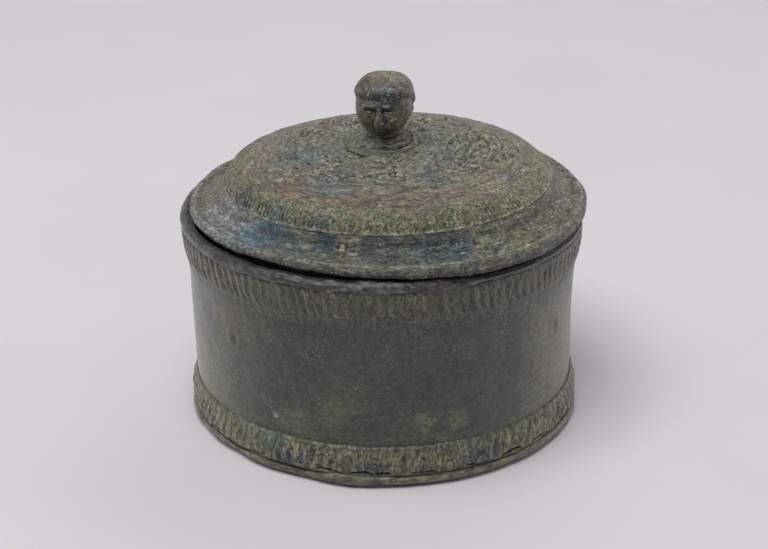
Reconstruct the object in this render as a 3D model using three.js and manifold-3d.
// A small round metal inkwell: a straight drum with two ribbed bands, a loose
// domed lid, and a knob in the shape of a head riveted to the lid.
//
// Millimetres, +Z up. The origin is the centre of the flat underside.
// The drum stands on its base plate, and the lid lies on the drum's lip a
// little askew, as a loose lid does.

import * as THREE from 'three';
import { mergeVertices } from 'three/addons/utils/BufferGeometryUtils.js';
import Module from 'manifold-3d';

const wasm = await Module();
wasm.setup();

// ---------------------------------------------------------------- dimensions

const ROUND_SEGMENTS = 64;            // facets round every large turned piece
const SMALL_SEGMENTS = 32;            // facets round the small ones at the knob
const DEGREE = Math.PI / 180;

// Drum
const DRUM_HEIGHT = 41.7;             // table to the top of the lip
const BASE_RADIUS = 39.3;
const BASE_THICKNESS = 2.4;
const WALL_RADIUS = 37.9;             // outside of the plain part of the wall
const WALL_THICKNESS = 1.6;
const WALL_FLARE = 0.85;              // extra radius at the top of the wall
const FLARE_START = 26;               // height where the wall begins to flare
const LIP_RADIUS = 39.6;
const LIP_INNER_RADIUS = 37.5;
const LIP_HEIGHT = 1.9;
const LIP_ROUNDING = 0.5;
const DRUM_LEAN = -0.4;               // sideways set of the mouth from the base
const LEAN_START = 8;
const LEAN_END = 26;

// Ribbed bands round the drum
const BAND_GAP = 0.06;                // solder film behind a band
const RIB_DEPTH = 0.4;
const UPPER_BAND = { bottom: 32, top: 39.75, crest: [39.0, 39.5], ribs: 128, slant: 2.8 };
const LOWER_BAND = { bottom: 2.4, top: 8.6, crest: [39.1, 38.9], ribs: 116, slant: -1.2 };

// Lid, in its own frame: z = 0 is the underside of its outer edge
const LID_RADIUS = 38.8;
const LID_SHIFT = 0.7;                // the lid's axis from the row's axis
const LID_HEIGHT = DRUM_HEIGHT + 1.1; // height of the lid's own zero
const LID_TILT = -1.07 * DEGREE;      // right side up
const LID_WAVE = 0.4;                 // how far the hammered edge rises and dips
const LID_WAVE_TOP = -130 * DEGREE;   // bearing of a high point of that wave
const FOOT_SKEW = 0.015;              // slope of the dome's foot across the flange, right side up
const DOME_SKEW = -0.008;             // slope of the dome above its shoulder
const EDGE_DROP = 0.8;                // extra depth of the edge where it is thickest
const EDGE_DROP_AT = -62 * DEGREE;    // bearing of that thick stretch
const EDGE_DROP_WIDTH = 48 * DEGREE;
const EDGE_BEAD = 0.35;               // height of the widest part of the edge
const LID_GAP = 0.15;                 // film between the lid's joined pieces
const DOME_SEAT = 4.05;               // height of the flange's seat for the dome
const DOME_EDGE = new THREE.Vector2(32.0, 5.0);
const DOME_SHOULDER = new THREE.Vector2(30.1, 7.6);
const DOME_TOP = 11.6;
const DOME_THICKNESS = 1.5;
const STRIP_THICKNESS = 0.45;
const COLLAR_RADIUS = 35.6;
const COLLAR_THICKNESS = 1.2;
const COLLAR_DEPTH = 4.2;

// Knob
const TANG_RADIUS = 1.5;
const TANG_HOLE_RADIUS = 1.9;
const NECK_RADIUS = 2.5;
const NECK_FOOT_RADIUS = 3.4;
const ROSETTE_RADIUS = 6.3;
const HEAD_HEIGHT = 12.7;             // chin to crown
const HEAD_BOTTOM = 12.9;             // chin, above the lid's zero
const HEAD_WIDTH = 11.5;              // over the hair
const HEAD_DEPTH = 12.0;
const FACE_INSET = 0.75;              // how far the face lies behind the hair
const HEAD_SHIFT = -0.3;
const HEAD_TURN = -10 * DEGREE;       // the head looks a little to one side

// -------------------------------------------------------------------- looks

const LOOKS = {
  drum: { color: 0x4a5148, roughness: 0.55, metalness: 0.6 },
  band: { color: 0x5d5a4b, roughness: 0.65, metalness: 0.5 },
  base: { color: 0x5f5a48, roughness: 0.6, metalness: 0.5 },
  lip: { color: 0x585c52, roughness: 0.45, metalness: 0.7 },
  lid: { color: 0x5e5c4a, roughness: 0.65, metalness: 0.5 },
  dome: { color: 0x5a5040, roughness: 0.7, metalness: 0.4 },
  inside: { color: 0x45443c, roughness: 0.7, metalness: 0.5 },
  knob: { color: 0x4d4a3c, roughness: 0.5, metalness: 0.6 },
};

// ------------------------------------------------------------------ helpers

function point(radius, height) {
  return new THREE.Vector2(radius, height);
}

/** A mesh with its name and its own material. */
function piece(name, geometry, look) {
  const mesh = new THREE.Mesh(geometry, new THREE.MeshStandardMaterial(look));
  mesh.name = name;
  return mesh;
}

/** Moves every vertex of a geometry with move(vertex). */
function warp(geometry, move) {
  const position = geometry.getAttribute('position');
  const vertex = new THREE.Vector3();
  for (let i = 0; i < position.count; i += 1) {
    vertex.fromBufferAttribute(position, i);
    move(vertex);
    position.setXYZ(i, vertex.x, vertex.y, vertex.z);
  }
  geometry.computeVertexNormals();
  return geometry;
}

/** Turns a profile about +Z. It runs up the outside and down the inside. */
function turned(profile, segments = ROUND_SEGMENTS) {
  const geometry = new THREE.LatheGeometry(profile, segments);
  return geometry.rotateX(Math.PI / 2);
}

/** The same, for a ring: the profile closes on its first point. */
function turnedRing(profile, segments = ROUND_SEGMENTS) {
  return turned([...profile, profile[0].clone()], segments);
}

function lean(vertex) {
  vertex.x += DRUM_LEAN * THREE.MathUtils.smoothstep(vertex.z, LEAN_START, LEAN_END);
}

/** The hammered lid's unevenness: its edge waves, and its dome leans. */
function wave(vertex) {
  const bearing = Math.atan2(vertex.y, vertex.x);
  const radius = Math.hypot(vertex.x, vertex.y);
  const reach = radius / LID_RADIUS;
  const onDome = THREE.MathUtils.smoothstep(vertex.z, 2, 4) * THREE.MathUtils.smoothstep(radius, 8, 24);
  const aboveFoot = THREE.MathUtils.smoothstep(vertex.z, DOME_EDGE.y, DOME_SHOULDER.y - 0.2);
  vertex.z += THREE.MathUtils.lerp(FOOT_SKEW, DOME_SKEW, aboveFoot) * vertex.x * onDome;
  vertex.z += LID_WAVE * Math.cos(2 * (bearing - LID_WAVE_TOP)) * reach * reach;
}

/** The underside of the lid's edge, which hangs lower at one side. */
function dropEdge(vertex) {
  const radius = Math.hypot(vertex.x, vertex.y);
  if (radius < LID_RADIUS - 1 || vertex.z > EDGE_BEAD) return;
  const offset = (Math.atan2(vertex.y, vertex.x) - EDGE_DROP_AT) / EDGE_DROP_WIDTH;
  vertex.z -= EDGE_DROP * Math.exp(-offset * offset);
}

/** A geometry as a manifold solid, for joining. */
function solid(geometry) {
  const bare = geometry.clone();
  bare.deleteAttribute('normal');
  bare.deleteAttribute('uv');
  const merged = mergeVertices(bare, 1e-4);
  return new wasm.Manifold(new wasm.Mesh({
    numProp: 3,
    vertProperties: new Float32Array(merged.getAttribute('position').array),
    triVerts: new Uint32Array(merged.getIndex().array),
  }));
}

function joined(first, second) {
  const result = solid(first).add(solid(second)).getMesh();
  const geometry = new THREE.BufferGeometry();
  geometry.setAttribute('position', new THREE.BufferAttribute(result.vertProperties, 3));
  geometry.setIndex(new THREE.BufferAttribute(result.triVerts, 1));
  geometry.computeVertexNormals();
  return geometry;
}

// --------------------------------------------------------------------- drum

function wallRadiusAt(height) {
  const flare = (height - FLARE_START) / (wallTop() - FLARE_START);
  return WALL_RADIUS + WALL_FLARE * Math.max(0, flare);
}

function wallTop() {
  return DRUM_HEIGHT - LIP_HEIGHT;
}

function basePlate() {
  return turned([
    point(0, 0),
    point(BASE_RADIUS - 0.8, 0),
    point(BASE_RADIUS, 0.7),
    point(BASE_RADIUS, BASE_THICKNESS - 0.5),
    point(BASE_RADIUS - 0.3, BASE_THICKNESS),
    point(0, BASE_THICKNESS),
  ]);
}

function drumWall() {
  const heights = [BASE_THICKNESS, FLARE_START, wallTop()];
  const outside = heights.map((z) => point(wallRadiusAt(z), z));
  const inside = heights.map((z) => point(wallRadiusAt(z) - WALL_THICKNESS, z)).reverse();
  return warp(turnedRing([...outside, ...inside]), lean);
}

function rimLip() {
  const bottom = wallTop();
  return warp(turnedRing([
    point(LIP_INNER_RADIUS, bottom),
    point(LIP_RADIUS - LIP_ROUNDING, bottom),
    point(LIP_RADIUS, bottom + LIP_ROUNDING),
    point(LIP_RADIUS, DRUM_HEIGHT - LIP_ROUNDING),
    point(LIP_RADIUS - LIP_ROUNDING, DRUM_HEIGHT),
    point(LIP_INNER_RADIUS + LIP_ROUNDING, DRUM_HEIGHT),
    point(LIP_INNER_RADIUS, DRUM_HEIGHT - LIP_ROUNDING),
  ]), lean);
}

/**
 * A strip round the wall with slanting ribs. It is extruded from a toothed ring,
 * and then its outer face is fitted to the crest radii and given its slant, and
 * its inner face is fitted to the wall.
 */
function ribbedBand({ bottom, top, crest, ribs, slant }) {
  const outline = new THREE.Shape();
  const steps = ribs * 2;
  for (let i = 0; i < steps; i += 1) {
    const angle = (i / steps) * 2 * Math.PI;
    const radius = crest[0] - (i % 2) * RIB_DEPTH;
    const x = radius * Math.cos(angle);
    const y = radius * Math.sin(angle);
    if (i === 0) outline.moveTo(x, y);
    else outline.lineTo(x, y);
  }
  outline.closePath();
  const bore = new THREE.Path();
  for (let i = 0; i < ROUND_SEGMENTS; i += 1) {
    const angle = (-i / ROUND_SEGMENTS) * 2 * Math.PI;
    const x = WALL_RADIUS * Math.cos(angle);
    const y = WALL_RADIUS * Math.sin(angle);
    if (i === 0) bore.moveTo(x, y);
    else bore.lineTo(x, y);
  }
  bore.closePath();
  outline.holes.push(bore);

  const height = top - bottom;
  const geometry = new THREE.ExtrudeGeometry(outline, { depth: height, bevelEnabled: false });
  const innerLimit = (WALL_RADIUS + crest[0] - RIB_DEPTH) / 2;
  return warp(geometry, (vertex) => {
    const rise = vertex.z / height;
    const radius = Math.hypot(vertex.x, vertex.y);
    const z = vertex.z + bottom;
    let angle = Math.atan2(vertex.y, vertex.x);
    let fitted = wallRadiusAt(z) / Math.cos(Math.PI / ROUND_SEGMENTS) + BAND_GAP;
    if (radius > innerLimit) {
      fitted = radius - crest[0] + THREE.MathUtils.lerp(crest[0], crest[1], rise);
      angle -= slant * DEGREE * (rise - 0.5);
    }
    vertex.set(fitted * Math.cos(angle), fitted * Math.sin(angle), z);
    lean(vertex);
  });
}

// ---------------------------------------------------------------------- lid

/** A point on the dome's shoulder, t from its edge up, set in by a depth. */
function shoulder(t, inset) {
  const along = DOME_SHOULDER.clone().sub(DOME_EDGE);
  const inward = point(along.y, -along.x).normalize().multiplyScalar(-inset);
  return DOME_EDGE.clone().addScaledVector(along, t).add(inward);
}

/** The lid's outer part: a beaded edge, a hollow slope and a seat for the dome. */
function lidFlange() {
  const seatInner = DOME_SHOULDER.x + 0.4;
  const flange = turnedRing([
    point(LID_RADIUS - 0.5, 0),
    point(LID_RADIUS, EDGE_BEAD),
    point(LID_RADIUS - 0.2, 0.95),
    point(LID_RADIUS - 1.1, 1.15),
    point(LID_RADIUS - 2.6, 1.35),
    point(LID_RADIUS - 4.0, 2.05),
    point(LID_RADIUS - 5.4, 3.05),
    point(DOME_EDGE.x + 0.3, DOME_SEAT),
    point(seatInner, DOME_SEAT),
    point(seatInner, DOME_SEAT - 1.35),
    point(LID_RADIUS - 7.0, 2.4),
    point(COLLAR_RADIUS - COLLAR_THICKNESS, 0),
    point(LID_RADIUS - 1.4, 0),
  ]);
  return warp(warp(flange, dropEdge), wave);
}

function lidDome() {
  const seat = DOME_SEAT + LID_GAP;
  const inset = STRIP_THICKNESS + LID_GAP;
  return warp(turnedRing([
    point(DOME_EDGE.x - 0.8, seat),
    shoulder(0, inset),
    shoulder(1, inset),
    point(DOME_SHOULDER.x - 0.75, DOME_SHOULDER.y + 0.3),
    point(28, 8.55),
    point(25, 9.4),
    point(20, 10.6),
    point(11, 11.35),
    point(TANG_HOLE_RADIUS, DOME_TOP),
    point(TANG_HOLE_RADIUS, DOME_TOP - DOME_THICKNESS),
    point(11, 11.35 - DOME_THICKNESS),
    point(20, 10.6 - DOME_THICKNESS),
    point(26, 7.2),
    point(DOME_SHOULDER.x + 0.3, seat),
  ]), wave);
}

/** The milled strip on the dome's shoulder. */
function milledStrip() {
  return warp(turnedRing([
    shoulder(0, STRIP_THICKNESS),
    shoulder(0, 0),
    shoulder(1, 0),
    shoulder(1, STRIP_THICKNESS),
  ]), wave);
}

/** The ring under the lid that keeps it over the mouth. */
function locatingCollar() {
  const inner = COLLAR_RADIUS - COLLAR_THICKNESS;
  return warp(turnedRing([
    point(inner, -COLLAR_DEPTH),
    point(COLLAR_RADIUS, -COLLAR_DEPTH),
    point(COLLAR_RADIUS, -LID_GAP),
    point(inner, -LID_GAP),
  ]), wave);
}

// --------------------------------------------------------------------- knob

/** The neck, its foot on the dome, and the tang through the lid. */
function neckAndTang() {
  const foot = DOME_TOP + LID_GAP;
  const underside = DOME_TOP - DOME_THICKNESS;
  return turned([
    point(0, underside - 2.0),
    point(TANG_RADIUS + 0.6, underside - 1.8),
    point(TANG_RADIUS + 0.7, underside - 1.3),
    point(TANG_RADIUS, underside - 1.1),
    point(TANG_RADIUS, foot),
    point(NECK_FOOT_RADIUS, foot),
    point(NECK_RADIUS + 0.2, foot + 0.8),
    point(NECK_RADIUS, foot + 2.2),
    point(NECK_RADIUS, foot + 4.5),
    point(0, foot + 5),
  ], SMALL_SEGMENTS);
}

/** A smooth bump: 1 at the centre, falling away over the given widths. */
function bump(x, z, width, height) {
  return Math.exp(-((x / width) ** 2) - ((z / height) ** 2));
}

/** Height of a plain face over its oval, at x across and z up in face units. */
function faceRelief(x, z) {
  const side = Math.abs(x);
  const nose = 0.14 * bump(x, z + 0.08, 0.11, 0.2) + 0.05 * bump(side - 0.1, z + 0.2, 0.08, 0.06);
  const brow = 0.05 * bump(side - 0.25, z - 0.16, 0.24, 0.06);
  const eyes = 0.05 * bump(side - 0.27, z - 0.01, 0.13, 0.07);
  const mouth = 0.04 * bump(x, z + 0.42, 0.2, 0.08);
  const chin = 0.06 * bump(x, z + 0.72, 0.2, 0.14);
  return nose + brow - eyes + mouth + chin;
}

/** The head: an oval with a plain face under a close cap of hair. */
function headOval() {
  const half = new THREE.Vector3(HEAD_WIDTH / 2, HEAD_DEPTH / 2, HEAD_HEIGHT / 2);
  const oval = new THREE.SphereGeometry(1, SMALL_SEGMENTS + 4, 24).rotateX(Math.PI / 2);
  return warp(oval, (vertex) => {
    const frontness = THREE.MathUtils.smoothstep(-vertex.y, 0.05, 0.6);
    const hairline = THREE.MathUtils.lerp(-0.35, 0.42, frontness);
    const hair = THREE.MathUtils.smoothstep(vertex.z, hairline - 0.08, hairline + 0.08);
    const jaw = 1 - 0.16 * THREE.MathUtils.smoothstep(-vertex.z, 0.3, 1);
    const relief = frontness * (1 - hair) * faceRelief(vertex.x, vertex.z);
    const girth = (1 - (1 - hair) * (FACE_INSET / half.x)) * jaw;
    vertex.set(
      vertex.x * half.x * girth,
      vertex.y * half.y * (girth + relief),
      vertex.z * half.z,
    );
  });
}

function headKnob() {
  const head = headOval();
  head.rotateZ(HEAD_TURN);
  head.translate(HEAD_SHIFT, 0, HEAD_BOTTOM + HEAD_HEIGHT / 2);
  return joined(neckAndTang(), head);
}

/** The ring of metal spread on the dome round the foot of the neck. */
function rosette() {
  const foot = DOME_TOP + LID_GAP;
  const inner = NECK_FOOT_RADIUS + 0.3;
  return turnedRing([
    point(inner, foot),
    point(ROSETTE_RADIUS, foot),
    point(ROSETTE_RADIUS - 0.2, foot + 0.3),
    point(inner + 0.9, foot + 0.65),
    point(inner, foot + 0.7),
  ], SMALL_SEGMENTS);
}

/** The washer inside the lid that the tang is riveted over. */
function tangRove() {
  const top = DOME_TOP - DOME_THICKNESS - LID_GAP;
  return turnedRing([
    point(TANG_RADIUS + 0.3, top - 0.7),
    point(TANG_RADIUS + 1.9, top - 0.7),
    point(TANG_RADIUS + 1.9, top),
    point(TANG_RADIUS + 0.3, top),
  ], SMALL_SEGMENTS);
}

// ----------------------------------------------------------------- assembly

const well = new THREE.Group();
well.add(
  piece('base_plate', basePlate(), LOOKS.base),
  piece('drum_wall', drumWall(), LOOKS.drum),
  piece('lower_band', ribbedBand(LOWER_BAND), LOOKS.band),
  piece('upper_band', ribbedBand(UPPER_BAND), LOOKS.band),
  piece('rim_lip', rimLip(), LOOKS.lip),
);

const lid = new THREE.Group();
lid.position.set(LID_SHIFT, 0, LID_HEIGHT);
lid.rotation.y = LID_TILT;
lid.add(
  piece('lid_flange', lidFlange(), LOOKS.lid),
  piece('lid_dome', lidDome(), LOOKS.dome),
  piece('milled_strip', milledStrip(), LOOKS.lid),
  piece('locating_collar', locatingCollar(), LOOKS.inside),
  piece('head_knob', headKnob(), LOOKS.knob),
  piece('knob_rosette', rosette(), LOOKS.dome),
  piece('tang_rove', tangRove(), LOOKS.inside),
);

const inkwell = new THREE.Group();
inkwell.add(well, lid);

export default inkwell;
